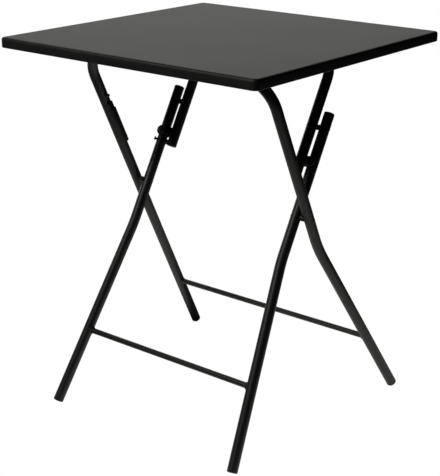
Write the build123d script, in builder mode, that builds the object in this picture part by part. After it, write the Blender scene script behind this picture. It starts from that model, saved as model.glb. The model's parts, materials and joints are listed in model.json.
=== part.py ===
from build123d import *
import math
import os

os.makedirs("parts", exist_ok=True)

# Square top, pressed from sheet steel
table_height = 700
top_side = 556
rim_height = 18
plan_corner_radius = 10
edge_roll = 4.5
sheet = 1.2
lip_width = 7
hem_round = 2

# Tubes
leg_radius = 9.6
leg_wall = 1.2
brace_radius = 5.3
brace_wall = 1.0

# Side view of the crossed frames, with angles in degrees from upright
crossing_share = 4 / 7
pivot_depth = -17.3
outer_lean_angle = 25.9
outer_foot_angle = 31.9
inner_lean_angle = 30
hinge_drop = 25

# Front view, with angles in degrees from upright
outer_leg_x = 203.4
pivot_gap = 9.4
knee_gap = 8.6
outer_splay_angle = 7.3
inner_splay_angle = 5.8

# Bends, the lower ones below the crossing along their own legs
outer_bend_drop = 69
inner_bend_drop = 85
leg_bend_radius = 300
outer_hoop_radius = 66
upper_hoop_radius = 62

# Stations along the inner leg's line, from the knee
leg_tip_rise = 29.5
lock_drop = 64.5
peg_drop = 82.6
arm_tip_drop = 90.2

# Stretchers, as lengths down the lower legs from their bends
outer_brace_drop = 249
inner_brace_drop = 223.5

# Rounded plastic caps
cap_head = 4
cap_round = 2.4
cap_plug = 14
arm_plug_head = 2
arm_plug_round = 1.2

# Pivot rivet and its spacer
pivot_shank_radius = 3.2
pivot_head_radius = 4.8
pivot_head_height = 0.6
spacer_radius = 5.5

# Knee pin and rivet
knee_shank_radius = 2.6
knee_head_radius = 4.4
knee_head_height = 0.5
knee_collar_radius = 5

# Lock: boss, button, the peg below it and the stop behind the leg
boss_radius = 9.6
boss_seat = 2.5
button_radius = 9.5
button_stem_radius = 4
button_travel = 1.2
button_edge = 0.8
button_dome = 1.2
button_stem_length = 8
peg_angle = 55
peg_neck_radius = 1.9
peg_head_radius = 3.5
peg_head_length = 3.4
peg_standoff = 2
peg_round = 0.9
stop_radius = 5.2
stop_height = 4
stop_round = 1

# Strip and pin on one outer leg, below the bend of the hoop
strip_drop = 54
strip_length = 92
strip_width = 12
strip_height = 5.9
strip_round = 2
pin_rise = 14.9
pin_radius = 3
pin_height = 6.5
pin_round = 1

# Rails and bearings under the top
rail_x = 60
rail_overrun = 94
rail_depth = 10
rail_web = 26
rail_span = 44
rail_gauge = 1.2
block_radius = 13
block_width = 22
strap_gauge = 1.5
strap_width = 16
strap_flange = 13
screw_shank_radius = 2
screw_head_radius = 4
screw_head_height = 2.2
screw_grip = 5
screw_round = 1

# Clearances
side_play = 0.3
turning_play = 0.08
seat_play = 0.03


def sine(angle):
    return math.sin(math.radians(angle))


def cosine(angle):
    return math.cos(math.radians(angle))


def tangent(angle):
    return math.tan(math.radians(angle))


# Directions of the leg lines, with one unit of length in the side view
outer_rise = Vector(0, -sine(outer_lean_angle), cosine(outer_lean_angle))
outer_fall = Vector(tangent(outer_splay_angle), sine(outer_foot_angle), -cosine(outer_foot_angle))
inner_rise = Vector(0, sine(inner_lean_angle), cosine(inner_lean_angle))
inner_fall = Vector(tangent(inner_splay_angle), -sine(inner_lean_angle), -cosine(inner_lean_angle))
inner_front = Vector(0, -cosine(inner_lean_angle), sine(inner_lean_angle))
outboard = Vector(1, 0, 0)

# Planes of the right-hand legs and arm
inner_leg_x = outer_leg_x - 2 * leg_radius - pivot_gap
arm_x = inner_leg_x - 2 * leg_radius - knee_gap
hinge_height = table_height - hinge_drop
pivot = Vector(0, pivot_depth, table_height * crossing_share)
outer_pivot = pivot + outboard * outer_leg_x
inner_pivot = pivot + outboard * inner_leg_x
arm_pivot = pivot + outboard * arm_x


def rise_to(height, start, direction):
    """Point at a height on the line from a start along a direction."""
    return start + direction * ((height - start.Z) / direction.Z)


def foot_end(start, direction):
    """End of the tube whose cap stands on the floor with the lowest point of its rounded edge."""
    upright = abs(direction.normalized().Z)
    slant = math.sqrt(1 - upright**2)
    face_height = cap_round * (1 - upright) + (leg_radius - cap_round) * slant
    return rise_to(face_height + cap_head * upright, start, direction)


# Lengths from the crossing to the hinges, and the knee that lets all three fold into one line
outer_corner = rise_to(hinge_height, outer_pivot, outer_rise)
arm_corner = rise_to(hinge_height, arm_pivot, inner_rise)
outer_reach = (outer_corner - outer_pivot).length
inner_reach = (arm_corner - arm_pivot).length
hinge_spread = arm_corner.Y - outer_corner.Y
knee_reach = (outer_reach + inner_reach - hinge_spread) / 2
lock_reach = knee_reach - lock_drop
strip_end_reach = outer_reach - outer_hoop_radius - strip_drop

# Corner points of the tubes' centre lines
outer_bend = outer_pivot - outer_rise * outer_bend_drop
outer_foot = foot_end(outer_bend, outer_fall)
inner_bend = inner_pivot - inner_rise * inner_bend_drop
inner_foot = foot_end(inner_bend, inner_fall)
inner_tip = inner_pivot + inner_rise * (knee_reach + leg_tip_rise - cap_head)
arm_end = arm_pivot + inner_rise * (knee_reach - arm_tip_drop + arm_plug_head)
outer_brace = outer_bend + outer_fall * outer_brace_drop
inner_brace = inner_bend + inner_fall * inner_brace_drop
knee = inner_pivot + inner_rise * knee_reach
lock = inner_pivot + inner_rise * lock_reach


def mirrored(point):
    return Vector(-point.X, point.Y, point.Z)


def across(*points):
    """Points of the right half followed by their mirror images, from the right end to the left."""
    return [*points, *(mirrored(point) for point in reversed(points))]


def save(piece, node):
    piece.label = node
    export_step(piece, f"parts/{node}.step")


def save_pair(piece, node):
    save(piece, f"{node}_r")
    save(piece.mirror(Plane.YZ), f"{node}_l")


def sweep_tube(points, bend_radii, radius, wall):
    """Adds a bent round tube along its corner points to the part in progress."""
    with BuildLine() as route:
        FilletPolyline(*points, radius=bend_radii)
    with BuildSketch(Plane(origin=route.line @ 0, z_dir=route.line % 0)) as section:
        Circle(radius)
        Circle(radius - wall, mode=Mode.SUBTRACT)
    sweep(section.sketch, path=route.line)


def disc(start, direction, radius, length, mode=Mode.ADD):
    """Adds or cuts a round disc or rod that starts at a point."""
    with Locations(Plane(origin=start, z_dir=direction)):
        Cylinder(radius, length, align=(Align.CENTER, Align.CENTER, Align.MIN), mode=mode)


def cut_saddle(point, direction, length=4 * leg_radius):
    """Cuts away what reaches into a leg's tube, along a length centred on a point of its axis."""
    with Locations(Plane(origin=point, z_dir=direction)):
        Cylinder(leg_radius + seat_play, length, mode=Mode.SUBTRACT)


def stretcher_tube(end, leg_direction):
    """Adds a straight tube from leg to leg, its ends coped to fit their tubes."""
    with BuildSketch(Plane.YZ) as section:
        with Locations((end.Y, end.Z)):
            Circle(brace_radius)
            Circle(brace_radius - brace_wall, mode=Mode.SUBTRACT)
    extrude(section.sketch, amount=end.X, both=True)
    cut_saddle(end, leg_direction)
    cut_saddle(mirrored(end), mirrored(leg_direction))


# Top: a shallow tray turned upside down, with a lip turned in at the bottom of the rim
with BuildPart() as top_panel:
    with BuildSketch(Plane.XY.offset(table_height)):
        RectangleRounded(top_side, top_side, plan_corner_radius)
    extrude(amount=-rim_height)
    fillet(top_panel.faces().sort_by(Axis.Z)[-1].edges(), edge_roll)
    offset(amount=-sheet, openings=top_panel.faces().sort_by(Axis.Z)[0])
    with BuildSketch(Plane.XY.offset(table_height - rim_height)):
        RectangleRounded(top_side, top_side, plan_corner_radius)
        lip_side = top_side - 2 * (sheet + lip_width)
        RectangleRounded(lip_side, lip_side, plan_corner_radius - sheet - lip_width, mode=Mode.SUBTRACT)
    extrude(amount=sheet)
    fillet(top_panel.faces().sort_by(Axis.Z)[0].outer_wire().edges(), hem_round)
save(top_panel.part, "top_panel")

# Rails: hat sections that fill the height between the sheet and the bearings
sheet_underside = table_height - sheet
web_underside = sheet_underside - rail_depth
strap_inside = block_radius + seat_play
strap_outside = strap_inside + strap_gauge
screw_offset = strap_outside + strap_flange / 2
hinge_depths = {"front": outer_corner.Y, "back": arm_corner.Y}
screw_places = [
    (rail_x, depth + side * screw_offset) for depth in hinge_depths.values() for side in (-1, 1)
]
with BuildPart() as rail:
    with BuildSketch(Plane.XZ.offset(rail_overrun - outer_corner.Y)):
        with Locations((rail_x, sheet_underside)):
            Rectangle(rail_span, rail_gauge, align=(Align.CENTER, Align.MAX))
            Rectangle(rail_web, rail_depth, align=(Align.CENTER, Align.MAX))
            Rectangle(
                rail_web - 2 * rail_gauge,
                rail_depth - rail_gauge,
                align=(Align.CENTER, Align.MAX),
                mode=Mode.SUBTRACT,
            )
    extrude(amount=-(hinge_spread + 2 * rail_overrun))
    with BuildSketch(Plane.XY.offset(web_underside)):
        with Locations(*screw_places):
            Circle(screw_shank_radius + seat_play)
    extrude(amount=rail_gauge, mode=Mode.SUBTRACT)
save_pair(rail.part, "rail")


def bearing_outline(depth, radius, mode=Mode.ADD):
    """Upright U round a cross tube, as high as the rail's web."""
    with Locations((depth, hinge_height)):
        Circle(radius, mode=mode)
        Rectangle(
            2 * radius,
            web_underside - hinge_height,
            align=(Align.CENTER, Align.MIN),
            mode=mode,
        )


# Bearings: a plastic block round the tube, a steel strap round the block and two screws
for place, depth in hinge_depths.items():
    with BuildPart() as hinge_block:
        with BuildSketch(Plane.YZ.offset(rail_x)):
            bearing_outline(depth, block_radius)
            with Locations((depth, hinge_height)):
                Circle(leg_radius + turning_play, mode=Mode.SUBTRACT)
        extrude(amount=block_width / 2, both=True)
    save_pair(hinge_block.part, f"hinge_block_{place}")

    with BuildPart() as hinge_strap:
        with BuildSketch(Plane.YZ.offset(rail_x)):
            bearing_outline(depth, strap_outside)
            with Locations((depth, web_underside)):
                Rectangle(
                    2 * (strap_outside + strap_flange),
                    strap_gauge,
                    align=(Align.CENTER, Align.MAX),
                )
                Rectangle(
                    2 * strap_outside,
                    strap_outside,
                    align=(Align.CENTER, Align.MIN),
                    mode=Mode.SUBTRACT,
                )
            bearing_outline(depth, strap_inside, mode=Mode.SUBTRACT)
        extrude(amount=strap_width / 2, both=True)
        with BuildSketch(Plane.XY.offset(web_underside)):
            with Locations((rail_x, depth - screw_offset), (rail_x, depth + screw_offset)):
                Circle(screw_shank_radius + seat_play)
        extrude(amount=-strap_gauge, mode=Mode.SUBTRACT)
    save_pair(hinge_strap.part, f"hinge_strap_{place}")

    for order, side in (("a", -1), ("b", 1)):
        with BuildPart() as screw:
            with BuildSketch(Plane.XY.offset(web_underside - strap_gauge)):
                with Locations((rail_x, depth + side * screw_offset)):
                    Circle(screw_head_radius)
            extrude(amount=-screw_head_height)
            fillet(screw.faces().sort_by(Axis.Z)[0].edges(), screw_round)
            with BuildSketch(Plane.XY.offset(web_underside - strap_gauge)):
                with Locations((rail_x, depth + side * screw_offset)):
                    Circle(screw_shank_radius)
            extrude(amount=strap_gauge + rail_gauge + screw_grip)
        save_pair(screw.part, f"hinge_screw_{place}_{order}")

# Outer frame: one tube bent into two legs and the cross tube that turns in the front bearings
pivot_bore = pivot_shank_radius + turning_play
with BuildPart() as outer_hoop:
    sweep_tube(
        across(outer_foot, outer_bend, outer_corner),
        [leg_bend_radius, outer_hoop_radius, outer_hoop_radius, leg_bend_radius],
        leg_radius,
        leg_wall,
    )
    for hole_pivot in (outer_pivot, mirrored(outer_pivot)):
        with Locations(Plane(origin=hole_pivot, z_dir=outboard)):
            Cylinder(pivot_shank_radius + seat_play, 2 * leg_radius, mode=Mode.SUBTRACT)
save(outer_hoop.part, "outer_hoop")

with BuildPart() as outer_stretcher:
    stretcher_tube(outer_brace, outer_fall)
save(outer_stretcher.part, "outer_stretcher")

# Inner legs: separate tubes with free top ends
inner_crest = inner_leg_x - leg_radius
with BuildPart() as inner_leg:
    sweep_tube([inner_foot, inner_bend, inner_tip], [leg_bend_radius], leg_radius, leg_wall)
    for hole_point, hole_radius in ((inner_pivot, pivot_bore), (knee, knee_shank_radius + seat_play)):
        with Locations(Plane(origin=hole_point, z_dir=outboard)):
            Cylinder(hole_radius, 2 * leg_radius, mode=Mode.SUBTRACT)
    disc(lock, inner_front, button_stem_radius + turning_play, leg_radius, mode=Mode.SUBTRACT)
save_pair(inner_leg.part, "inner_leg")

with BuildPart() as inner_stretcher:
    stretcher_tube(inner_brace, inner_fall)
save(inner_stretcher.part, "inner_stretcher")

# Upper hoop: one narrow tube that turns in the back bearings, with its arms inside the inner legs
arm_knee = arm_pivot + inner_rise * knee_reach
with BuildPart() as upper_hoop:
    sweep_tube(
        across(arm_end, arm_corner),
        [upper_hoop_radius, upper_hoop_radius],
        leg_radius,
        leg_wall,
    )
    for hole_point in (arm_knee, mirrored(arm_knee)):
        with Locations(Plane(origin=hole_point, z_dir=outboard)):
            Cylinder(knee_shank_radius + seat_play, 2 * leg_radius, mode=Mode.SUBTRACT)
save(upper_hoop.part, "upper_hoop")


# Caps: a rounded head on the end of the tube and a plug inside it
cap_places = {
    "outer_foot_cap": (outer_foot, outer_fall, cap_head, cap_round),
    "inner_foot_cap": (inner_foot, inner_fall, cap_head, cap_round),
    "leg_top_cap": (inner_tip, inner_rise, cap_head, cap_round),
    "hoop_plug": (arm_end, -inner_rise, arm_plug_head, arm_plug_round),
}
for node, (end, outward, head, edge_round) in cap_places.items():
    with BuildPart() as cap:
        disc(end, outward, leg_radius, head)
        fillet(cap.faces().sort_by(Axis(end, outward))[-1].edges(), edge_round)
        disc(end, -outward, leg_radius - leg_wall - seat_play, cap_plug)
    save_pair(cap.part, node)

# Crossing pivots, fixed in the outer legs
outer_leg_face = outer_leg_x + leg_radius
pivot_head_face = inner_crest - side_play
with BuildPart() as pivot_rivet:
    disc(outer_pivot, outboard, pivot_head_radius, leg_radius + pivot_head_height)
    fillet(pivot_rivet.faces().sort_by(Axis.X)[-1].edges(), pivot_head_height / 2)
    cut_saddle(outer_pivot, outer_rise)
    disc(
        pivot + outboard * pivot_head_face,
        outboard,
        pivot_shank_radius,
        outer_leg_face - pivot_head_face,
    )
    disc(pivot + outboard * pivot_head_face, -outboard, pivot_head_radius, pivot_head_height)
    fillet(pivot_rivet.faces().sort_by(Axis.X)[0].edges(), pivot_head_height / 2)
save_pair(pivot_rivet.part, "pivot_rivet")

with BuildPart() as pivot_spacer:
    spacer_start = inner_leg_x + leg_radius + side_play
    disc(pivot + outboard * spacer_start, outboard, spacer_radius, outer_leg_x - spacer_start)
    cut_saddle(outer_pivot, outer_rise)
    disc(
        pivot + outboard * spacer_start,
        outboard,
        pivot_shank_radius + seat_play,
        outer_leg_x - spacer_start,
        mode=Mode.SUBTRACT,
    )
save_pair(pivot_spacer.part, "pivot_spacer")

# Knee pin, fixed in the inner leg, with its collar in the gap beside the arm
arm_face = arm_x + leg_radius + side_play
with BuildPart() as knee_pin:
    disc(knee, outboard, knee_head_radius, leg_radius + knee_head_height)
    fillet(knee_pin.faces().sort_by(Axis.X)[-1].edges(), knee_head_height / 2)
    disc(knee, -outboard, knee_collar_radius, inner_leg_x - arm_face)
    cut_saddle(knee, inner_rise)
    disc(knee - outboard * leg_radius, outboard, knee_shank_radius, 2 * leg_radius)
save_pair(knee_pin.part, "knee_pin")

# Knee rivet, fixed in the arm, with its end flush beside the collar
with BuildPart() as knee_rivet:
    disc(arm_knee, -outboard, knee_head_radius, leg_radius + knee_head_height)
    fillet(knee_rivet.faces().sort_by(Axis.X)[0].edges(), knee_head_height / 2)
    cut_saddle(arm_knee, inner_rise)
    disc(arm_knee - outboard * leg_radius, outboard, knee_shank_radius, 2 * leg_radius)
save_pair(knee_rivet.part, "knee_rivet")

# Lock boss, in the gap beside the arm
boss_start = leg_radius - boss_seat
with BuildPart() as lock_boss:
    disc(lock - outboard * boss_start, -outboard, boss_radius, inner_leg_x - boss_start - arm_face)
    cut_saddle(lock, inner_rise)
save_pair(lock_boss.part, "lock_boss")

# Lock button: a low domed disc on a stem that slides into the leg
button_base = leg_radius + side_play + button_travel
with BuildPart() as lock_button:
    disc(lock + inner_front * button_base, inner_front, button_radius, button_edge + button_dome)
    fillet(lock_button.faces().sort_by(Axis(lock, inner_front))[-1].edges(), button_dome)
    disc(lock + inner_front * button_base, -inner_front, button_stem_radius, button_stem_length)
save_pair(lock_button.part, "lock_button")

# Lock peg: a small headed peg that stands out of the leg at an angle to its front
peg_outward = inner_front * cosine(peg_angle) + outboard * sine(peg_angle)
peg_point = inner_pivot + inner_rise * (knee_reach - peg_drop)
peg_head_start = peg_point + peg_outward * (leg_radius + peg_standoff)
with BuildPart() as lock_peg:
    disc(peg_head_start, peg_outward, peg_head_radius, peg_head_length)
    fillet(lock_peg.edges().filter_by(GeomType.CIRCLE), peg_round)
    disc(peg_head_start, -peg_outward, peg_neck_radius, leg_radius + peg_standoff)
    cut_saddle(peg_point, inner_rise)
save_pair(lock_peg.part, "lock_peg")

# Lock stop: a round head on the far side of the leg, in line with the peg
with BuildPart() as lock_stop:
    disc(peg_point, -peg_outward, stop_radius, leg_radius + stop_height)
    fillet(lock_stop.faces().sort_by(Axis(peg_point, -peg_outward))[-1].edges(), stop_round)
    cut_saddle(peg_point, inner_rise)
save_pair(lock_stop.part, "lock_stop")

# Strip and pin on the inner face of the left outer leg
strip_start = mirrored(outer_pivot + outer_rise * (strip_end_reach - strip_length))
strip_plane = Plane(origin=strip_start, x_dir=outboard, z_dir=outer_rise)
with BuildPart() as strip:
    with BuildSketch(strip_plane):
        Rectangle(leg_radius + strip_height, strip_width, align=(Align.MIN, Align.CENTER))
    extrude(amount=strip_length)
    fillet(strip.faces().sort_by(Axis.X)[-1].edges(), strip_round)
    cut_saddle(strip_start, outer_rise, length=2 * strip_length)
save(strip.part, "strip")

pin_centre = mirrored(outer_pivot + outer_rise * (strip_end_reach + pin_rise))
with BuildPart() as strip_pin:
    disc(pin_centre, outboard, pin_radius, leg_radius + pin_height)
    fillet(strip_pin.faces().sort_by(Axis.X)[-1].edges(), pin_round)
    cut_saddle(pin_centre, outer_rise)
save(strip_pin.part, "strip_pin")
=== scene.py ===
import json
import math

import bmesh
import bpy
from mathutils import Matrix, Vector


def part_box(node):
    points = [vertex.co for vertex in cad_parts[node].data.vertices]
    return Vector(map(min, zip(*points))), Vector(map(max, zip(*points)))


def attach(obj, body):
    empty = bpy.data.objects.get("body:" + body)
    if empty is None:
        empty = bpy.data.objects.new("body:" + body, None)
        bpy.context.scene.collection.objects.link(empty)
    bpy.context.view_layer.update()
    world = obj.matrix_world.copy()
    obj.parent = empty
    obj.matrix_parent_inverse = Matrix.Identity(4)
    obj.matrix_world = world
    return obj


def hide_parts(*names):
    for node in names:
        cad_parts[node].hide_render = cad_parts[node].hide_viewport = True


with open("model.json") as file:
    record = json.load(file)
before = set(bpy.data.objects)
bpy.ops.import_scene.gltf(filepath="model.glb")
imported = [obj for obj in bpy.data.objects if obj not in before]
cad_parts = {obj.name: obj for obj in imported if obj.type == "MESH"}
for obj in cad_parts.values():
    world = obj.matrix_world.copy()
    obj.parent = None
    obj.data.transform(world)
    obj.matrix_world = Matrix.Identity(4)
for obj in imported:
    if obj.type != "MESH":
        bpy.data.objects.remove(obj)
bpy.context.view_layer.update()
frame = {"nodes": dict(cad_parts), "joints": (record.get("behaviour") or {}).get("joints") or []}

# Studio: a pale floor and backdrop, one large softbox over the back of the table for the sheen of its
# top, a small one high at the front whose mirror image runs down the legs, and the soft light that
# the bright floor and backdrop give back. The camera stands off the front corner, a little above it.
camera_place = (1.25487, -1.58980, 1.04351)
camera_turns = ((37.20, "Z"), (69.785, "X"), (0.551, "Z"))
camera_lens = 86.15
camera_shift = (-0.0513, 0.01905)
floor_size = 14.0
floor_tone = (0.12, 0.12, 0.12, 1)
surround_seen = 1.0
surround_light = 0.005
white = (1, 1, 1, 1)
warm_white = (1.0, 0.997, 0.955)

camera_data = bpy.data.cameras.new("photo_camera")
camera_data.lens = camera_lens
camera_data.shift_x, camera_data.shift_y = camera_shift
camera = bpy.data.objects.new("photo_camera", camera_data)
bpy.context.scene.collection.objects.link(camera)
stand = Matrix.Translation(camera_place)
for degrees, axis in camera_turns:
    stand = stand @ Matrix.Rotation(math.radians(degrees), 4, axis)
camera.matrix_world = stand
bpy.context.scene.camera = camera
bpy.context.scene.view_settings.view_transform = "Standard"


def wire(tree, kind, values=None, **settings):
    """A node of a tree, with its own settings and the values of its sockets."""
    node = tree.nodes.new(kind)
    for key, value in settings.items():
        setattr(node, key, value)
    for socket, value in (values or {}).items():
        node.inputs[socket].default_value = value
    return node


def join(tree, *ends):
    """Links pairs of sockets: from, to, from, to."""
    for start, end in zip(ends[::2], ends[1::2]):
        tree.links.new(start, end)


def seen_apart(tree, seen, lighting, out):
    """Ends a tree in one shader for what the camera sees and another for what lights the table."""
    ray = wire(tree, "ShaderNodeLightPath")
    choice = wire(tree, "ShaderNodeMixShader")
    join(
        tree,
        *(ray.outputs["Is Camera Ray"], choice.inputs[0]),
        *(lighting.outputs[0], choice.inputs[1]),
        *(seen.outputs[0], choice.inputs[2]),
        *(choice.outputs[0], wire(tree, out).inputs[0]),
    )


world = bpy.data.worlds.new("white_surround")
bpy.context.scene.world = world
world.use_nodes = True
surround = world.node_tree
surround.nodes.clear()
surround_shaders = [
    wire(surround, "ShaderNodeBackground", {"Color": white, "Strength": strength})
    for strength in (surround_seen, surround_light)
]
seen_apart(surround, *surround_shaders, "ShaderNodeOutputWorld")


def softbox(name, place, aim, size, power):
    """A rectangular area light that faces a point, unseen by the camera."""
    data = bpy.data.lights.new(name, "AREA")
    data.shape = "RECTANGLE"
    data.size, data.size_y = size
    data.energy = power
    data.color = warm_white
    light = bpy.data.objects.new(name, data)
    bpy.context.scene.collection.objects.link(light)
    facing = (Vector(aim) - Vector(place)).to_track_quat("-Z", "Y")
    light.matrix_world = Matrix.Translation(place) @ facing.to_matrix().to_4x4()
    light.visible_camera = False


softbox("back_softbox", (-2.15, 2.45, 2.1), (-0.1, 0, 0.7), (3.1, 1.8), 27)
softbox("front_softbox", (-0.86, -2.31, 2.43), (0, 0, 0.4), (1.0, 0.55), 30)
softbox("backdrop_glow", (-2.0, 0.88, 0.4), (0, 0.3, 0.3), (2.2, 0.75), 12)
softbox("back_floor_glow", (-0.8, 1.4, 0.003), (-0.8, 1.4, 1), (1.8, 1.1), 4)
softbox("left_floor_glow", (-0.42, -0.08, 0.003), (-0.42, -0.08, 1), (0.85, 0.5), 0.8)
softbox("floor_glow", (0.38, 0.12, 0.003), (0.38, 0.12, 1), (0.85, 1.05), 1.7)

floor_mesh = bpy.data.meshes.new("studio_floor")
floor_corners = [Vector((x, y, 0)) * floor_size / 2 for x, y in ((-1, -1), (1, -1), (1, 1), (-1, 1))]
floor_mesh.from_pydata(floor_corners, [], [(0, 1, 2, 3)])
floor = bpy.data.objects.new("studio_floor", floor_mesh)
bpy.context.scene.collection.objects.link(floor)
floor_paint = bpy.data.materials.new("pale_floor")
floor_paint.use_nodes = True
floor_nodes = floor_paint.node_tree
floor_nodes.nodes.clear()
floor_seen = wire(floor_nodes, "ShaderNodeEmission", {"Color": white})
floor_matte = wire(floor_nodes, "ShaderNodeBsdfDiffuse", {"Color": floor_tone})
seen_apart(floor_nodes, floor_seen, floor_matte, "ShaderNodeOutputMaterial")
floor_mesh.materials.append(floor_paint)

# Top: one square of sheet steel pressed into a shallow upside-down tray, with rounded corners, a
# soft rolled edge and a rim whose bottom is turned in as a hem. It is powder coated matt black,
# inside and out, with the fine orange peel that such a coat has.
top_side = 0.556
top_height = 0.700
top_corner = 0.010
least_corner = 0.0004
corner_steps = 10
flat_insets = (0.024, 0.010)
top_roll = 0.0045
top_rim = 0.018
top_hem = 0.002
top_lip = 0.0082
lip_edge = 0.0006
top_sheet = 0.0012
merge_distance = 1e-7
crease_angle = 38
rubbed_angle = 24
coat_black = (0.0095, 0.0095, 0.0098, 1)
coat_rubbed = (0.03, 0.03, 0.031, 1)
coat_grain = 0.0011


def group_sockets(group, inputs, outputs):
    """Names the sockets of a node group; an input is (name, kind, value)."""
    for name, kind, value in inputs:
        socket = group.interface.new_socket(name, in_out="INPUT", socket_type=f"NodeSocket{kind}")
        if value is not None:
            socket.default_value = value
    for name, kind in outputs:
        group.interface.new_socket(name, in_out="OUTPUT", socket_type=f"NodeSocket{kind}")


def noise(tree, place, scale, detail, roughness=0.5):
    """A noise texture over a place, with a scale per metre."""
    values = {"Scale": scale, "Detail": detail, "Roughness": roughness}
    texture = wire(tree, "ShaderNodeTexNoise", values)
    join(tree, place, texture.inputs["Vector"])
    return texture


def spread(tree, texture, low, high, start=0.3, end=0.7):
    """Maps a noise texture to a range."""
    values = {"From Min": start, "From Max": end, "To Min": low, "To Max": high}
    mapped = wire(tree, "ShaderNodeMapRange", values)
    join(tree, texture.outputs["Fac"], mapped.inputs["Value"])
    return mapped.outputs["Result"]


coat_skin = bpy.data.node_groups.new("coat_skin", "ShaderNodeTree")
group_sockets(
    coat_skin,
    [
        ("Tone", "Color", coat_black),
        ("Rubbed Tone", "Color", coat_rubbed),
        ("Edge", "Float", 0.0),
        ("Grain", "Float", coat_grain),
        ("Roughness", "Float", 0.5),
    ],
    [("Color", "Color"), ("Roughness", "Float"), ("Height", "Float")],
)
skin_in = wire(coat_skin, "NodeGroupInput")
skin_out = wire(coat_skin, "NodeGroupOutput")
skin_place = wire(coat_skin, "ShaderNodeTexCoord").outputs["Object"]
cloud = noise(coat_skin, skin_place, scale=11, detail=4)
fleck = noise(coat_skin, skin_place, scale=260, detail=3, roughness=0.6)
scuff = noise(coat_skin, skin_place, scale=70, detail=5, roughness=0.65)
peel = noise(coat_skin, skin_place, scale=1, detail=2)
peel_scale = wire(coat_skin, "ShaderNodeMath", {0: 1.0}, operation="DIVIDE")
tone_gain = wire(coat_skin, "ShaderNodeMath", operation="MULTIPLY")
toned = wire(coat_skin, "ShaderNodeVectorMath", operation="SCALE")
rub = wire(coat_skin, "ShaderNodeMath", operation="MULTIPLY", use_clamp=True)
rubbed = wire(coat_skin, "ShaderNodeMix", data_type="RGBA")
rough_cloud = wire(coat_skin, "ShaderNodeMath", operation="MULTIPLY")
rough_fleck = wire(coat_skin, "ShaderNodeMath", operation="MULTIPLY")
join(
    coat_skin,
    *(skin_in.outputs["Grain"], peel_scale.inputs[1]),
    *(peel_scale.outputs[0], peel.inputs["Scale"]),
    *(spread(coat_skin, cloud, low=0.94, high=1.06), tone_gain.inputs[0]),
    *(spread(coat_skin, fleck, low=0.92, high=1.08), tone_gain.inputs[1]),
    *(skin_in.outputs["Tone"], toned.inputs[0]),
    *(tone_gain.outputs[0], toned.inputs["Scale"]),
    *(skin_in.outputs["Edge"], rub.inputs[0]),
    *(spread(coat_skin, scuff, low=0.1, high=1.0, start=0.42, end=0.66), rub.inputs[1]),
    *(rub.outputs[0], rubbed.inputs["Factor"]),
    *(toned.outputs[0], rubbed.inputs["A"]),
    *(skin_in.outputs["Rubbed Tone"], rubbed.inputs["B"]),
    *(rubbed.outputs["Result"], skin_out.inputs["Color"]),
    *(skin_in.outputs["Roughness"], rough_cloud.inputs[0]),
    *(spread(coat_skin, cloud, low=0.985, high=1.015), rough_cloud.inputs[1]),
    *(rough_cloud.outputs[0], rough_fleck.inputs[0]),
    *(spread(coat_skin, fleck, low=0.96, high=1.04), rough_fleck.inputs[1]),
    *(rough_fleck.outputs[0], skin_out.inputs["Roughness"]),
    *(peel.outputs["Fac"], skin_out.inputs["Height"]),
)


def coated(name, tone, rubbed_tone, roughness, grain, bump, depth, specular=0.5, seam=0.0):
    """A matt coat or moulded plastic: its skin varies in tone and gloss, and its bump is a fine grain."""
    paint = bpy.data.materials.new(name)
    paint.use_nodes = True
    tree = paint.node_tree
    surface = tree.nodes["Principled BSDF"]
    surface.inputs["Specular IOR Level"].default_value = specular
    values = {"Tone": tone, "Rubbed Tone": rubbed_tone, "Grain": grain, "Roughness": roughness}
    skin = wire(tree, "ShaderNodeGroup", values, node_tree=coat_skin)
    edge = wire(tree, "ShaderNodeAttribute", attribute_name="edge")
    relief = wire(tree, "ShaderNodeBump", {"Strength": bump, "Distance": depth})
    join(
        tree,
        *(edge.outputs["Fac"], skin.inputs["Edge"]),
        *(skin.outputs["Color"], surface.inputs["Base Color"]),
        *(skin.outputs["Roughness"], surface.inputs["Roughness"]),
        *(relief.outputs["Normal"], surface.inputs["Normal"]),
    )
    if seam:
        ridge = wire(tree, "ShaderNodeAttribute", attribute_name="seam")
        raised = wire(tree, "ShaderNodeMath", {1: seam}, operation="MULTIPLY_ADD")
        join(tree, ridge.outputs["Fac"], raised.inputs[0], skin.outputs["Height"], raised.inputs[2])
        join(tree, raised.outputs[0], relief.inputs["Height"])
    else:
        join(tree, skin.outputs["Height"], relief.inputs["Height"])
    return paint


def mark_edges(shell):
    """Keeps how sharply the surface turns at each point, where hands and other furniture rub it."""
    layer = shell.verts.layers.float.new("edge")
    for point in shell.verts:
        turns = [line.calc_face_angle_signed(0) for line in point.link_edges]
        point[layer] = min(1, max([0, *turns]) / math.radians(rubbed_angle))


def ride_mesh(name, mesh, body, slot, *nodes):
    """Puts a finished mesh on its body, in place of the solids that it stands for."""
    piece = bpy.data.objects.new(name, mesh)
    bpy.context.scene.collection.objects.link(piece)
    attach(piece, body)
    if nodes:
        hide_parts(*nodes)


def place_piece(name, shell, paint, body, slot, *nodes):
    """Makes a mesh of a shell, smooth but for its creases, and puts it on its body."""
    bmesh.ops.remove_doubles(shell, verts=shell.verts, dist=merge_distance)
    bmesh.ops.recalc_face_normals(shell, faces=shell.faces)
    mark_edges(shell)
    mesh = bpy.data.meshes.new(name)
    shell.to_mesh(mesh)
    shell.free()
    mesh.materials.append(paint)
    mesh.shade_smooth()
    mesh.set_sharp_from_angle(angle=math.radians(crease_angle))
    ride_mesh(name, mesh, body, slot, *nodes)


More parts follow.
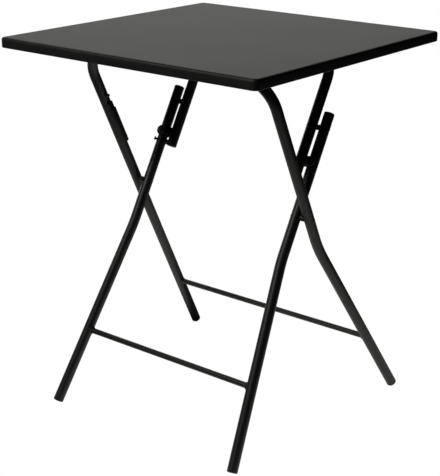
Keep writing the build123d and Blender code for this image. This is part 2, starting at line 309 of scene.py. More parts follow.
def square_ring(shell, inset, height):
    """One closed ring of the tray at an inset from its rim, with the rim's rounded corners."""
    half = top_side / 2 - inset
    radius = max(top_corner - inset, least_corner)
    ring = []
    for quarter in range(4):
        turn = Matrix.Rotation(math.radians(90 * quarter), 3, "Z")
        for step in range(corner_steps + 1):
            angle = math.radians(90 * step / corner_steps)
            corner = Vector((half - radius, half - radius, height))
            out = Vector((math.cos(angle), math.sin(angle), 0)) * radius
            ring.append(shell.verts.new(turn @ (corner + out)))
    return ring


def arc(centre, radius, start, end, steps):
    """Points of an arc of the section, from one angle to another."""
    turns = [math.radians(start + (end - start) * i / steps) for i in range(steps + 1)]
    return [(centre[0] + radius * math.cos(t), centre[1] + radius * math.sin(t)) for t in turns]


def skin_between(shell, rings):
    """Faces between each ring and the next."""
    for near, far in zip(rings, rings[1:]):
        for i in range(len(near)):
            j = (i + 1) % len(near)
            shell.faces.new((near[i], near[j], far[j], far[i]))


powder_coat = coated(
    "powder_coat", coat_black, coat_rubbed, roughness=0.57, grain=coat_grain, bump=0.25, depth=0.00006
)
bottom = top_height - top_rim
outer_roll = arc((top_roll, top_height - top_roll), top_roll, 90, 180, 8)
hem_turn = arc((top_hem, bottom + top_hem), top_hem, 180, 270, 5)
lip_turn = arc((top_lip - lip_edge, bottom + lip_edge), lip_edge, 270, 450, 6)
hem_inside = arc((top_hem, bottom + top_hem), top_hem - top_sheet, 270, 180, 3)
inner_roll = arc((top_roll, top_height - top_roll), top_roll - top_sheet, 180, 90, 6)
section = [(inset, top_height) for inset in flat_insets]
section += [*outer_roll, *hem_turn, *lip_turn, *hem_inside, *inner_roll]
section += [(inset, top_height - top_sheet) for inset in reversed(flat_insets)]
tray = bmesh.new()
tray_rings = [square_ring(tray, inset, height) for inset, height in section]
skin_between(tray, tray_rings)
tray.faces.new(tray_rings[0])
tray.faces.new(tray_rings[-1])
place_piece("pressed_top", tray, powder_coat, "top", "black_paint", "top_panel")

# Frames: round steel tube, bent cold and powder coated with the top. The outer frame and the upper
# hoop are each one tube; the inner legs are two. Every tube has the faint lengthwise seam that it
# was rolled and welded with, turned away from the sides that are seen most.
tube_radius = 0.0096
tube_sides = 48
tube_bend_steps = 14
outer_x, inner_x, arm_x = 0.2034, 0.1748, 0.1470
leg_bend, outer_hoop_bend, upper_hoop_bend = 0.300, 0.066, 0.062
outer_bend_drop, inner_bend_drop = 0.069, 0.085
outer_splay, outer_lean = 7.3, 31.9
inner_splay, inner_lean = 5.8, 30.0
knee_reach = 0.165472
leg_tip_rise = 0.0295
arm_tip_drop = 0.0902
cap_height, cap_round = 0.0040, 0.0024
plug_height, plug_round = 0.0020, 0.0012
tube_coat = coated(
    "tube_coat",
    coat_black,
    coat_rubbed,
    roughness=0.46,
    grain=coat_grain,
    bump=0.15,
    depth=0.00006,
    seam=1.6,
)


def joint_place(name):
    """Where a hinge of the frame turns."""
    return Vector(next(joint for joint in frame["joints"] if joint["name"] == name)["pos_m"])


crossing = joint_place("leg_fold")
front_hinge = joint_place("top_tilt")
back_hinge = joint_place("hoop_swing")
outer_rise = (front_hinge - crossing).normalized()
inner_rise = (back_hinge - crossing).normalized()


def lower_line(splay, lean, way):
    """Direction down a lower leg on the right side, with one unit of length in the side view."""
    splay, lean = math.radians(splay), math.radians(lean)
    return Vector((math.tan(splay), way * math.sin(lean), -math.cos(lean)))


outer_fall = lower_line(outer_splay, outer_lean, 1)
inner_fall = lower_line(inner_splay, inner_lean, -1)


def tube_foot(start, fall):
    """End of a tube whose cap stands on the floor with the lowest point of its rounded edge."""
    upright = abs(fall.normalized().z)
    face = cap_round * (1 - upright) + (tube_radius - cap_round) * math.sqrt(1 - upright**2)
    return start + fall * ((face + cap_height * upright - start.z) / fall.z)


outer_cross = crossing + Vector((outer_x, 0, 0))
inner_cross = crossing + Vector((inner_x, 0, 0))
arm_cross = crossing + Vector((arm_x, 0, 0))
outer_bend = outer_cross - outer_rise * outer_bend_drop
inner_bend = inner_cross - inner_rise * inner_bend_drop
outer_end = tube_foot(outer_bend, outer_fall)
inner_end = tube_foot(inner_bend, inner_fall)
outer_corner = front_hinge + Vector((outer_x, 0, 0))
arm_corner = back_hinge + Vector((arm_x, 0, 0))
inner_tip = inner_cross + inner_rise * (knee_reach + leg_tip_rise - cap_height)
arm_tip = arm_cross + inner_rise * (knee_reach - arm_tip_drop + plug_height)


def flipped(point):
    """The same point on the left side."""
    return Vector((-point.x, point.y, point.z))


def shape_tree(name, inputs, output):
    """A geometry tree with named inputs, and its input and output nodes."""
    tree = bpy.data.node_groups.new(name, "GeometryNodeTree")
    tree.is_modifier = True
    group_sockets(tree, inputs, [(output, "Geometry")])
    return tree, wire(tree, "NodeGroupInput"), wire(tree, "NodeGroupOutput")


def end_tree(tree, group_in, shape, group_out, smooth=False):
    """Makes the shape of a tree real, gives it its coat and ends the tree in it."""
    ends = [wire(tree, "GeometryNodeRealizeInstances")]
    if smooth:
        ends.append(wire(tree, "GeometryNodeSetShadeSmooth"))
    ends.append(wire(tree, "GeometryNodeSetMaterial"))
    for end in ends:
        join(tree, shape, end.inputs["Geometry"])
        shape = end.outputs["Geometry"]
    join(tree, group_in.outputs["Coat"], ends[-1].inputs["Material"], shape, group_out.inputs[0])


sides = (("r", Vector), ("l", flipped))
bent_tube, tube_in, tube_out = shape_tree(
    "bent_tube",
    [
        ("Path", "Geometry", None),
        ("Radius", "Float", 0.01),
        ("Sides", "Int", 32),
        ("Bend Steps", "Int", 12),
        ("Seam Turn", "Float", 0.0),
        ("Coat", "Material", None),
    ],
    "Tube",
)
tube_line = wire(bent_tube, "GeometryNodeMeshToCurve")
tube_bends = wire(bent_tube, "GeometryNodeFilletCurve", mode="POLY")
bend_name = {"Name": "bend_radius"}
bend_size = wire(bent_tube, "GeometryNodeInputNamedAttribute", bend_name, data_type="FLOAT")
tube_section = wire(bent_tube, "GeometryNodeCurvePrimitiveCircle", mode="RADIUS")
section_turn = wire(bent_tube, "GeometryNodeTransform")
turn_vector = wire(bent_tube, "ShaderNodeCombineXYZ")
section_index = wire(bent_tube, "GeometryNodeInputIndex")
seam_here = wire(bent_tube, "FunctionNodeCompare", {3: 0}, data_type="INT", operation="EQUAL")
seam_store = wire(
    bent_tube, "GeometryNodeStoreNamedAttribute", {"Name": "seam"}, data_type="FLOAT", domain="POINT"
)
tube_skin = wire(bent_tube, "GeometryNodeCurveToMesh")
join(
    bent_tube,
    *(tube_in.outputs["Path"], tube_line.inputs["Mesh"]),
    *(tube_line.outputs["Curve"], tube_bends.inputs["Curve"]),
    *(bend_size.outputs["Attribute"], tube_bends.inputs["Radius"]),
    *(tube_in.outputs["Bend Steps"], tube_bends.inputs["Count"]),
    *(tube_in.outputs["Sides"], tube_section.inputs["Resolution"]),
    *(tube_in.outputs["Radius"], tube_section.inputs["Radius"]),
    *(tube_in.outputs["Seam Turn"], turn_vector.inputs["Z"]),
    *(tube_section.outputs["Curve"], section_turn.inputs["Geometry"]),
    *(turn_vector.outputs[0], section_turn.inputs["Rotation"]),
    *(section_index.outputs[0], seam_here.inputs[2]),
    *(section_turn.outputs["Geometry"], seam_store.inputs["Geometry"]),
    *(seam_here.outputs[0], seam_store.inputs["Value"]),
    *(tube_bends.outputs["Curve"], tube_skin.inputs["Curve"]),
    *(seam_store.outputs["Geometry"], tube_skin.inputs["Profile Curve"]),
)
end_tree(bent_tube, tube_in, tube_skin.outputs["Mesh"], tube_out, smooth=True)


def grown(name, tree, chains, values, attributes=None, closed=False):
    """The plain mesh that a node tree makes from chains of points and its named inputs."""
    points, lines = [], []
    for chain in chains:
        first, last = len(points), len(points) + len(chain) - 1
        points += [tuple(point) for point in chain]
        lines += [(i, i + 1) for i in range(first, last)]
        if closed:
            lines.append((last, first))
    seed_mesh = bpy.data.meshes.new(f"{name}_path")
    seed_mesh.from_pydata(points, lines, [])
    for key, numbers in (attributes or {}).items():
        layer = seed_mesh.attributes.new(key, "FLOAT", "POINT")
        layer.data.foreach_set("value", numbers)
    seed = bpy.data.objects.new(f"{name}_path", seed_mesh)
    bpy.context.scene.collection.objects.link(seed)
    modifier = seed.modifiers.new("shape", "NODES")
    modifier.node_group = tree
    sockets = {s.name: s.identifier for s in tree.interface.items_tree if s.in_out == "INPUT"}
    for key, value in values.items():
        modifier[sockets[key]] = value
    evaluated = seed.evaluated_get(bpy.context.evaluated_depsgraph_get())
    mesh = bpy.data.meshes.new_from_object(evaluated)
    mesh.name = name
    seed.modifiers.remove(modifier)
    bpy.data.objects.remove(seed)
    return mesh


def lay_tube(name, points, bends, body, node):
    """One bent tube along its corner points, in place of its solid."""
    values = {"Radius": tube_radius, "Sides": tube_sides, "Bend Steps": tube_bend_steps, "Coat": tube_coat}
    mesh = grown(name, bent_tube, [points], values, {"bend_radius": bends})
    ride_mesh(name, mesh, body, "black_paint", node)


outer_half = [outer_end, outer_bend, outer_corner]
outer_line = outer_half + [flipped(p) for p in reversed(outer_half)]
outer_bends = [0, leg_bend, outer_hoop_bend, outer_hoop_bend, leg_bend, 0]
lay_tube("outer_frame_tube", outer_line, outer_bends, "outer_frame", "outer_hoop")
hoop_line = [arm_tip, arm_corner, flipped(arm_corner), flipped(arm_tip)]
hoop_bends = [0, upper_hoop_bend, upper_hoop_bend, 0]
lay_tube("upper_hoop_tube", hoop_line, hoop_bends, "upper_hoop", "upper_hoop")
for side, way in sides:
    leg_line = [way(point) for point in (inner_end, inner_bend, inner_tip)]
    lay_tube(f"inner_leg_tube_{side}", leg_line, [0, leg_bend, 0], "inner_frame", f"inner_leg_{side}")

# Stretchers: a thin straight tube between the two legs of each frame, coped to them and welded all
# round. The bead is a row of small overlapping ripples, coated with the rest.
brace_radius = 0.0053
brace_sides = 32
brace_seam_turn = 2.1
brace_bite = 0.8
outer_brace_drop, inner_brace_drop = 0.249, 0.2235
outer_bead, inner_bead = 0.0016, 0.0024
bead_ripples = 26
ripple_least, ripple_most = 0.85, 1.15


def random_value(tree, least, most):
    """A random number in a range, drawn anew for each instance."""
    return wire(tree, "FunctionNodeRandomValue", {2: least, 3: most}, data_type="FLOAT")


ripple_bead, bead_in, bead_out = shape_tree(
    "ripple_bead",
    [
        ("Path", "Geometry", None),
        ("Ripples", "Int", 20),
        ("Ripple Radius", "Float", 0.001),
        ("Seed", "Int", 3),
        ("Coat", "Material", None),
    ],
    "Bead",
)
bead_line = wire(ripple_bead, "GeometryNodeMeshToCurve")
bead_even = wire(ripple_bead, "GeometryNodeResampleCurve")
ripple = wire(ripple_bead, "GeometryNodeMeshIcoSphere", {"Subdivisions": 3})
ripple_size = random_value(ripple_bead, ripple_least, ripple_most)
ripple_set = wire(ripple_bead, "GeometryNodeInstanceOnPoints")
join(
    ripple_bead,
    *(bead_in.outputs["Path"], bead_line.inputs["Mesh"]),
    *(bead_line.outputs["Curve"], bead_even.inputs["Curve"]),
    *(bead_in.outputs["Ripples"], bead_even.inputs["Count"]),
    *(bead_in.outputs["Ripple Radius"], ripple.inputs["Radius"]),
    *(bead_in.outputs["Seed"], ripple_size.inputs["Seed"]),
    *(bead_even.outputs["Curve"], ripple_set.inputs["Points"]),
    *(ripple.outputs["Mesh"], ripple_set.inputs["Instance"]),
    *(ripple_size.outputs[1], ripple_set.inputs["Scale"]),
)
end_tree(ripple_bead, bead_in, ripple_set.outputs["Instances"], bead_out, smooth=True)


def weld_line(centre, fall, steps=48):
    """Closed line where a stretcher along X meets a leg: at each turn the root of a quadratic."""
    down = fall.normalized()
    points = []
    for step in range(steps):
        turn = 2 * math.pi * step / steps
        off = Vector((0, math.cos(turn), math.sin(turn))) * brace_radius
        a = 1 - down.x**2
        b = off.dot(down) * down.x
        c = brace_radius**2 - off.dot(down) ** 2 - tube_radius**2
        reach = (math.sqrt(b * b - a * c) - b) / a
        points.append(centre + off - Vector((reach, 0, 0)))
    return points


stretchers = (
    ("outer", outer_bend + outer_fall * outer_brace_drop, outer_fall, outer_bead, 5),
    ("inner", inner_bend + inner_fall * inner_brace_drop, inner_fall, inner_bead, 9),
)
for name, centre, fall, bead_radius, seed in stretchers:
    body = f"{name}_frame"
    inside = centre - Vector((tube_radius * brace_bite, 0, 0))
    run = [inside, flipped(inside)]
    values = {"Radius": brace_radius, "Sides": brace_sides, "Bend Steps": 1}
    values |= {"Seam Turn": brace_seam_turn, "Coat": tube_coat}
    mesh = grown(f"{name}_stretcher_tube", bent_tube, [run], values, {"bend_radius": [0, 0]})
    ride_mesh(f"{name}_stretcher_tube", mesh, body, "black_paint", f"{name}_stretcher")
    ring = weld_line(centre, fall)
    rings = [ring, [flipped(p) for p in ring]]
    values = {"Ripples": bead_ripples, "Ripple Radius": bead_radius, "Seed": seed, "Coat": tube_coat}
    mesh = grown(f"{name}_welds", ripple_bead, rings, values, closed=True)
    ride_mesh(f"{name}_welds", mesh, body, "black_paint")

# Caps: moulded black plastic, pushed into the open ends of the tubes and flush with them. Each has a
# rounded edge, a fine parting line where it meets the tube and the dimple of its moulding gate.
cap_black = (0.0095, 0.0095, 0.0095, 1)
cap_rubbed = (0.028, 0.028, 0.028, 1)
parting_start, parting_step = 0.0001, 0.00035
gate_radius, gate_slope, gate_depth = 0.0021, 0.0004, 0.0002
moulded = coated(
    "moulded_plastic", cap_black, cap_rubbed, roughness=0.40, grain=0.0007, bump=0.3, depth=0.00003
)


def turned(shell, profile, start, along, steps=36):
    """Adds a part turned on a lathe: its profile is (distance along the axis, radius) from a start."""
    along = along.normalized()
    side = along.orthogonal().normalized()
    other = along.cross(side)
    rings = []
    for distance, radius in profile:
        middle = start + along * distance
        if radius == 0:
            rings.append([shell.verts.new(middle)])
            continue
        turns = [2 * math.pi * i / steps for i in range(steps)]
        spokes = [side * math.cos(t) + other * math.sin(t) for t in turns]
        rings.append([shell.verts.new(middle + spoke * radius) for spoke in spokes])
    for near, far in zip(rings, rings[1:]):
        for i in range(steps):
            j = (i + 1) % steps
            if len(near) == 1:
                shell.faces.new((near[0], far[j], far[i]))
            elif len(far) == 1:
                shell.faces.new((near[i], near[j], far[0]))
            else:
                shell.faces.new((near[i], near[j], far[j], far[i]))


def rounded_end(height, radius, edge, steps=6):
    """Profile of a flat end with a rounded edge and a gate dimple, from the parting line outwards."""
    turns = [math.pi / 2 * i / steps for i in range(steps + 1)]
    turn = [(height - edge + edge * math.sin(t), radius - edge + edge * math.cos(t)) for t in turns]
    parting = [(parting_start, 0), (parting_start, radius - parting_step)]
    parting.append((parting_start + parting_step, radius))
    gate_floor = height - gate_depth
    gate = [(height, gate_radius), (gate_floor, gate_radius - gate_slope), (gate_floor, 0)]
    return [*parting, *turn, *gate]


cap_kinds = (
    ("outer_foot_cap", outer_end, outer_fall, cap_height, cap_round, "outer_frame"),
    ("inner_foot_cap", inner_end, inner_fall, cap_height, cap_round, "inner_frame"),
    ("leg_top_cap", inner_tip, inner_rise, cap_height, cap_round, "inner_frame"),
    ("hoop_plug", arm_tip, -inner_rise, plug_height, plug_round, "upper_hoop"),
)
for node, end, outward, height, edge, body in cap_kinds:
    profile = rounded_end(height, tube_radius, edge)
    for side, way in sides:
        shell = bmesh.new()
        turned(shell, profile, way(end), way(outward), steps=tube_sides)
        place_piece(f"{node}_moulded_{side}", shell, moulded, body, "black_plastic", f"{node}_{side}")

# Rails: two hat sections of sheet steel under the top, running from front to back, that stiffen it
# and carry the bearings. Each flange has a row of small spot weld marks, coated over with the rest.
rail_x = 0.060
flange_offset = 0.0175
weld_inset = 0.014
weld_face = top_height - 2 * top_sheet
weld_face_share = 0.62
weld_least, weld_most = 0.9, 1.1


def sized(tree, value, factor):
    """A value of the tree times a fixed factor."""
    product = wire(tree, "ShaderNodeMath", {1: factor}, operation="MULTIPLY")
    join(tree, value, product.inputs[0])
    return product.outputs[0]


spot_welds, weld_in, weld_out = shape_tree(
    "spot_welds",
    [
        ("Path", "Geometry", None),
        ("Spacing", "Float", 0.04),
        ("Weld Radius", "Float", 0.0026),
        ("Weld Height", "Float", 0.0004),
        ("Seed", "Int", 11),
        ("Coat", "Material", None),
    ],
    "Welds",
)
weld_row = wire(spot_welds, "GeometryNodeMeshToCurve")
weld_places = wire(spot_welds, "GeometryNodeResampleCurve", mode="LENGTH")
weld_mark = wire(spot_welds, "GeometryNodeMeshCone", {"Vertices": 20})
weld_face_radius = sized(spot_welds, weld_in.outputs["Weld Radius"], weld_face_share)
weld_down = wire(spot_welds, "GeometryNodeTransform", {"Rotation": (math.pi, 0, 0)})
weld_size = random_value(spot_welds, weld_least, weld_most)
weld_set = wire(spot_welds, "GeometryNodeInstanceOnPoints")
join(
    spot_welds,
    *(weld_in.outputs["Path"], weld_row.inputs["Mesh"]),
    *(weld_row.outputs["Curve"], weld_places.inputs["Curve"]),
    *(weld_in.outputs["Spacing"], weld_places.inputs["Length"]),
    *(weld_in.outputs["Weld Radius"], weld_mark.inputs["Radius Bottom"]),
    *(weld_face_radius, weld_mark.inputs["Radius Top"]),
    *(weld_in.outputs["Weld Height"], weld_mark.inputs["Depth"]),
    *(weld_in.outputs["Seed"], weld_size.inputs["Seed"]),
    *(weld_mark.outputs["Mesh"], weld_down.inputs["Geometry"]),
    *(weld_places.outputs["Curve"], weld_set.inputs["Points"]),
    *(weld_down.outputs["Geometry"], weld_set.inputs["Instance"]),
    *(weld_size.outputs[1], weld_set.inputs["Scale"]),
)
end_tree(spot_welds, weld_in, weld_set.outputs["Instances"], weld_out)


def finished(paint, *nodes):
    """Gives solids that keep their own shape their real finish."""
    for node in nodes:
        frame["nodes"][node].data.materials.clear()
        frame["nodes"][node].data.materials.append(paint)


finished(powder_coat, "rail_r", "rail_l")
rail_start, rail_end = (corner[1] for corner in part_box("rail_r"))
weld_rows = []
for across in (rail_x, -rail_x):
    for offset in (-flange_offset, flange_offset):
        ends = (rail_start + weld_inset, rail_end - weld_inset)
        weld_rows.append([(across + offset, end, weld_face) for end in ends])
weld_mesh = grown("rail_spot_welds", spot_welds, weld_rows, {"Coat": powder_coat})
ride_mesh("rail_spot_welds", weld_mesh, "top", "black_paint")

# Bearings: a block of dark nylon round the cross tube, at each end of each rail, and over it a steel
# strap that holds it to the rail. The blocks are moulded and the straps are pressed and coated.
nylon_black = (0.016, 0.016, 0.017, 1)
nylon_rubbed = (0.035, 0.035, 0.036, 1)
dark_nylon = coated(
    "dark_nylon", nylon_black, nylon_rubbed, roughness=0.46, grain=0.0006, bump=0.3, depth=0.00003
)
bearing_places = [f"{place}_{side}" for place in ("front", "back") for side in "rl"]
finished(dark_nylon, *(f"hinge_block_{place}" for place in bearing_places))
finished(powder_coat, *(f"hinge_strap_{place}" for place in bearing_places))

# Screws: zinc plated steel with a pan head and a cross recess, two through each strap into the rail.
# Each was driven until tight, so each stands at its own angle.
screw_face = 0.6873
screw_offset = 0.0213
screw_crease = 32
dome_share = 1.22
zinc_bright = (0.50, 0.50, 0.49, 1)
zinc_rubbed = (0.6, 0.6, 0.6, 1)
screw_places = [
    (across, hinge.y + side * screw_offset, screw_face)
    for across in (rail_x, -rail_x)
    for hinge in (front_hinge, back_hinge)
    for side in (-1, 1)
]

pan_head_screw, screw_in, screw_out = shape_tree(
    "pan_head_screw",
    [
        ("Places", "Geometry", None),
        ("Head Radius", "Float", 0.0040),
        ("Head Height", "Float", 0.0022),
        ("Shank Radius", "Float", 0.0020),
        ("Shank Length", "Float", 0.0077),
        ("Recess Width", "Float", 0.0011),
        ("Recess Length", "Float", 0.0046),
        ("Recess Depth", "Float", 0.0012),
        ("Seed", "Int", 7),
        ("Coat", "Material", None),
    ],
    "Screws",
)


def vector_of(tree, x=None, y=None, z=None):
    """A vector whose parts are values of the tree, or zero."""
    vector = wire(tree, "ShaderNodeCombineXYZ")
    for part, value in zip("XYZ", (x, y, z)):
        if value is not None:
            join(tree, value, vector.inputs[part])
    return vector.outputs[0]


def shifted(tree, shape, move):
    """A shape of the tree, moved by a vector."""
    moved = wire(tree, "GeometryNodeTransform")
    join(tree, shape, moved.inputs["Geometry"], move, moved.inputs["Translation"])
    return moved.outputs["Geometry"]


head_disc = wire(pan_head_screw, "GeometryNodeMeshCylinder", {"Vertices": 40})
unit_dome = {"Segments": 40, "Rings": 24, "Radius": 1.0}
head_dome = wire(pan_head_screw, "GeometryNodeMeshUVSphere", unit_dome)
dome_size = wire(pan_head_screw, "GeometryNodeTransform")
pan_head = wire(pan_head_screw, "GeometryNodeMeshBoolean", operation="INTERSECT", solver="EXACT")
recessed = wire(pan_head_screw, "GeometryNodeMeshBoolean", operation="DIFFERENCE", solver="EXACT")
shank = wire(pan_head_screw, "GeometryNodeMeshCylinder", {"Vertices": 24})
whole_screw = wire(pan_head_screw, "GeometryNodeJoinGeometry")
screw_turn = random_value(pan_head_screw, 0.0, math.pi / 2)
screw_set = wire(pan_head_screw, "GeometryNodeInstanceOnPoints")
size = screw_in.outputs
dome_side = sized(pan_head_screw, size["Head Radius"], dome_share)
slot_depth = sized(pan_head_screw, size["Recess Depth"], 2.0)
slot_sizes = [
    vector_of(pan_head_screw, size["Recess Width"], size["Recess Length"], slot_depth),
    vector_of(pan_head_screw, size["Recess Length"], size["Recess Width"], slot_depth),
]
to_head = vector_of(pan_head_screw, z=sized(pan_head_screw, size["Head Height"], -0.5))
to_crown = vector_of(pan_head_screw, z=sized(pan_head_screw, size["Head Height"], -1.0))
to_shank = vector_of(pan_head_screw, z=sized(pan_head_screw, size["Shank Length"], 0.5))
join(
    pan_head_screw,
    *(size["Head Radius"], head_disc.inputs["Radius"]),
    *(size["Head Height"], head_disc.inputs["Depth"]),
    *(head_dome.outputs["Mesh"], dome_size.inputs["Geometry"]),
    *(vector_of(pan_head_screw, dome_side, dome_side, size["Head Height"]), dome_size.inputs["Scale"]),
    *(shifted(pan_head_screw, head_disc.outputs["Mesh"], to_head), pan_head.inputs["Mesh 2"]),
    *(dome_size.outputs["Geometry"], pan_head.inputs["Mesh 2"]),
    *(pan_head.outputs["Mesh"], recessed.inputs["Mesh 1"]),
)
for slot_size in slot_sizes:
    slot_cube = wire(pan_head_screw, "GeometryNodeMeshCube")
    join(pan_head_screw, slot_size, slot_cube.inputs["Size"])
    raised_slot = shifted(pan_head_screw, slot_cube.outputs["Mesh"], to_crown)
    join(pan_head_screw, raised_slot, recessed.inputs["Mesh 2"])
join(
    pan_head_screw,
    *(size["Shank Radius"], shank.inputs["Radius"]),
    *(size["Shank Length"], shank.inputs["Depth"]),
    *(shifted(pan_head_screw, shank.outputs["Mesh"], to_shank), whole_screw.inputs[0]),
    *(recessed.outputs["Mesh"], whole_screw.inputs[0]),
    *(size["Seed"], screw_turn.inputs["Seed"]),
    *(size["Places"], screw_set.inputs["Points"]),
    *(whole_screw.outputs[0], screw_set.inputs["Instance"]),
    *(vector_of(pan_head_screw, z=screw_turn.outputs[1]), screw_set.inputs["Rotation"]),
)
end_tree(pan_head_screw, screw_in, screw_set.outputs["Instances"], screw_out)
zinc = coated(
    "zinc_plate", zinc_bright, zinc_rubbed, roughness=0.36, grain=0.0005, bump=0.2, depth=0.00002
)
zinc.node_tree.nodes["Principled BSDF"].inputs["Metallic"].default_value = 1.0
screw_mesh = grown("strap_screws", pan_head_screw, [screw_places], {"Coat": zinc})
screw_mesh.shade_smooth()
screw_mesh.set_sharp_from_angle(angle=math.radians(screw_crease))
rows = ("front_a", "front_b", "back_a", "back_b")
screw_nodes = [f"hinge_screw_{row}_{side}" for row in rows for side in "rl"]
ride_mesh("strap_screws", screw_mesh, "top", "zinc_steel", *screw_nodes)

# Pivots: a black finished steel rivet through each pair of crossed legs, with low domed heads that are
# dimpled where they were closed, and round it a turned spacer that keeps the legs apart.
steel_black = (0.012, 0.012, 0.0122, 1)
steel_rubbed = (0.05, 0.05, 0.052, 1)
black_steel = coated(
    "black_steel", steel_black, steel_rubbed, roughness=0.42, grain=0.0008, bump=0.2, depth=0.00003
)
rivet_shank = 0.0032
rivet_outer = [(0.0079, 0.0042), (0.0095, 0.0042), (0.0098, 0.0033), (0.0100, 0.0015)]
rivet_outer += [(0.0099, 0.0009), (0.0098, 0)]
rivet_inner = [(0.0100, 0), (0.0101, 0.0010), (0.0101, 0.0024), (0.0100, 0.0034)]
rivet_inner += [(0.0098, 0.0036), (0.0097, rivet_shank)]
gap_to_leg = 0.0003
spacer_bore, spacer_neck, spacer_radius = 0.0033, 0.0052, 0.0055
spacer_seat = 0.0068


def both_sides(name, node, profile, start, along, body, paint, slot, steps=36):
    """A turned part on the right side and its mirror image on the left, in place of its two solids."""
    for side, way in sides:
        shell = bmesh.new()
        turned(shell, profile, way(start), way(along), steps)
        place_piece(f"{name}_{side}", shell, paint, body.format(side=side), slot, f"{node}_{side}")


outboard = Vector((1, 0, 0))
rivet_profile = [(inner_x - outer_x - reach, radius) for reach, radius in rivet_inner]
rivet_profile += [(rivet_outer[0][0], rivet_shank), *rivet_outer]
steel = (black_steel, "black_steel")
plastic = (moulded, "black_plastic")
at_crossing = (outer_cross, outboard, "outer_frame")
both_sides("crossing_rivet", "pivot_rivet", rivet_profile, *at_crossing, *steel)
sleeve = inner_x - outer_x + tube_radius + gap_to_leg
spacer_profile = [(sleeve, spacer_bore), (sleeve, 0.0050)]
spacer_profile += [(sleeve + 0.0005, spacer_radius), (sleeve + 0.0030, spacer_radius)]
spacer_profile += [(sleeve + 0.0033, spacer_neck), (sleeve + 0.0040, spacer_neck)]
spacer_profile += [(sleeve + 0.0043, spacer_radius), (-spacer_seat, spacer_radius)]
spacer_profile += [(-spacer_seat, spacer_bore), (sleeve, spacer_bore)]
both_sides("crossing_spacer", "pivot_spacer", spacer_profile, *at_crossing, *plastic)

# Knees: a steel pin fixed in each inner leg, with a collar in the gap beside the hoop's arm, and a
# rivet in the arm that meets it. Both have the low domed heads of the crossing rivets.
knee = inner_cross + inner_rise * knee_reach
arm_knee = arm_cross + inner_rise * knee_reach
knee_shank, knee_collar = 0.0026, 0.0050
knee_face = arm_x - inner_x + tube_radius + gap_to_leg
collar_seat = -0.0080
knee_head = [(0.0079, knee_shank), (0.0079, 0.0038), (0.0095, 0.0038), (0.0098, 0.0029)]
knee_head += [(0.0100, 0.0013), (0.0099, 0)]
pin_profile = [(knee_face, 0), (knee_face, knee_collar - 0.0004), (knee_face + 0.0004, knee_collar)]
pin_profile += [(collar_seat, knee_collar), (collar_seat, knee_shank), *knee_head]
both_sides("knee_pin_turned", "knee_pin", pin_profile, knee, outboard, "inner_frame", *steel)
arm_rivet = [(-tube_radius, 0), (-tube_radius, knee_shank), *knee_head]
both_sides("knee_rivet_turned", "knee_rivet", arm_rivet, arm_knee, -outboard, "upper_hoop", *steel)

# Locks: on each inner leg a moulded boss in the gap beside the arm, a round push button on the front
# of the leg, dished for a fingertip, and below it a small headed peg with a round stop behind the leg.
boss_steps, button_steps = 48, 56
lock_drop, peg_drop = 0.0645, 0.0826
peg_angle = math.radians(55)
lock = inner_cross + inner_rise * (knee_reach - lock_drop)
inner_front = Vector((0, -inner_rise.z, inner_rise.y))
peg_point = inner_cross + inner_rise * (knee_reach - peg_drop)
peg_outward = inner_front * math.cos(peg_angle) + outboard * math.sin(peg_angle)
at_boss = (lock, outboard, "inner_frame")
at_button = (lock, inner_front, "lock_button_{side}")
at_peg = (peg_point, peg_outward, "inner_frame")
at_stop = (peg_point, -peg_outward, "inner_frame")
boss_profile = [(knee_face, 0), (knee_face, 0.0093), (knee_face + 0.0008, 0.0101), (-0.0106, 0.0101)]
boss_profile += [(-0.0102, 0.0096), (-0.0075, 0.0096), (-0.0075, 0)]
both_sides("lock_boss_moulded", "lock_boss", boss_profile, *at_boss, *plastic, boss_steps)
button_profile = [(0.0031, 0), (0.0031, 0.0040), (0.0108, 0.0040), (0.0111, 0.0044), (0.0111, 0.0090)]
button_profile += [(0.0113, 0.0094), (0.0118, 0.0095), (0.0124, 0.0092), (0.0129, 0.0084), (0.0131, 0.0074)]
button_profile += [(0.0130, 0.0062), (0.0128, 0.0044), (0.0127, 0.0024), (0.0127, 0)]
both_sides("push_button", "lock_button", button_profile, *at_button, *plastic, button_steps)
peg_profile = [(0.0070, 0), (0.0070, 0.0019), (0.0113, 0.0019), (0.0116, 0.0022), (0.0116, 0.0030)]
peg_profile += [(0.0119, 0.0034), (0.0124, 0.0035), (0.0142, 0.0035), (0.0147, 0.0032)]
peg_profile += [(0.0150, 0.0024), (0.0150, 0)]
both_sides("lock_peg_moulded", "lock_peg", peg_profile, *at_peg, *plastic)
stop_profile = [(0.0070, 0), (0.0070, 0.0052), (0.0126, 0.0052), (0.0131, 0.0051), (0.0134, 0.0048)]
stop_profile += [(0.0136, 0.0042), (0.0136, 0)]
both_sides("lock_stop_moulded", "lock_stop", stop_profile, *at_stop, *plastic)

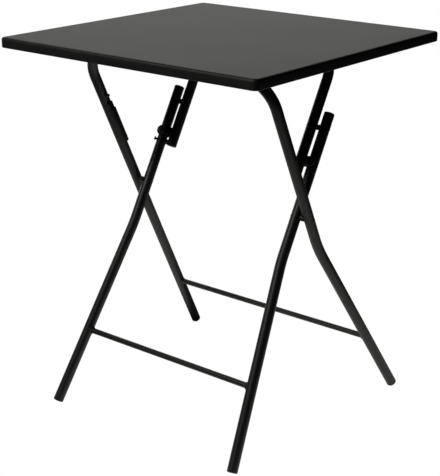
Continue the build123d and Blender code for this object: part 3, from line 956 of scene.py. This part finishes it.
# Strip and pin: on the inner face of the left outer leg, a bar of dull black plastic with a low step at
# its upper end, pressed over the tube, and above it a short grooved steel pin.
strip_black = (0.006, 0.006, 0.006, 1)
strip_rubbed = (0.02, 0.02, 0.02, 1)
strip_dull = coated(
    "dull_plastic",
    strip_black,
    strip_rubbed,
    roughness=0.6,
    grain=0.0009,
    bump=0.35,
    depth=0.00004,
    specular=0.25,
)
strip_low, strip_high, strip_pin_reach = 0.0937, 0.1857, 0.2006
strip_top, strip_half, strip_edge = 0.0155, 0.0060, 0.0018
strip_step, strip_step_top = 0.0150, 0.0132
strip_root = 0.0072
strip_foot = flipped(outer_cross)
strip_side = outer_rise.cross(outboard)


def strip_ring(shell, reach, top, half, steps=5):
    """One section of the bar, from inside the tube's wall over its rounded top and back."""
    turns = [math.pi / 2 * i / steps for i in range(steps + 1)]
    low, near = top - strip_edge, half - strip_edge
    rounded = [(low + strip_edge * math.sin(t), near + strip_edge * math.cos(t)) for t in turns]
    near_half = [(strip_root, half), *rounded]
    outline = near_half + [(out, -side) for out, side in reversed(near_half)]
    middle = strip_foot + outer_rise * reach
    return [shell.verts.new(middle + outboard * out + strip_side * side) for out, side in outline]


strip_shell = bmesh.new()
strip_shoulder = strip_high - strip_step
strip_sections = [
    (strip_low, strip_top - 0.0015, strip_half - 0.0012),
    (strip_low + 0.0005, strip_top - 0.0005, strip_half - 0.0003),
    (strip_low + 0.0015, strip_top, strip_half),
    (strip_shoulder - 0.0012, strip_top, strip_half),
    (strip_shoulder, strip_top - 0.0005, strip_half),
    (strip_shoulder + 0.0005, strip_step_top, strip_half - 0.0004),
    (strip_high - 0.0015, strip_step_top, strip_half - 0.0004),
    (strip_high, strip_step_top - 0.0010, strip_half - 0.0016),
]
strip_rings = [strip_ring(strip_shell, *section) for section in strip_sections]
skin_between(strip_shell, strip_rings)
strip_shell.faces.new(strip_rings[0])
strip_shell.faces.new(strip_rings[-1])
place_piece("leg_strip", strip_shell, strip_dull, "outer_frame", "black_plastic", "strip")
pin_shell = bmesh.new()
strip_pin_profile = [(0.0070, 0), (0.0070, 0.0030), (0.0133, 0.0030), (0.0136, 0.0026), (0.0142, 0.0026)]
strip_pin_profile += [(0.0145, 0.0030), (0.0152, 0.0030), (0.0158, 0.0027), (0.0161, 0.0020), (0.0161, 0)]
turned(pin_shell, strip_pin_profile, strip_foot + outer_rise * strip_pin_reach, outboard)
place_piece("strip_pin_turned", pin_shell, black_steel, "outer_frame", "black_paint", "strip_pin")
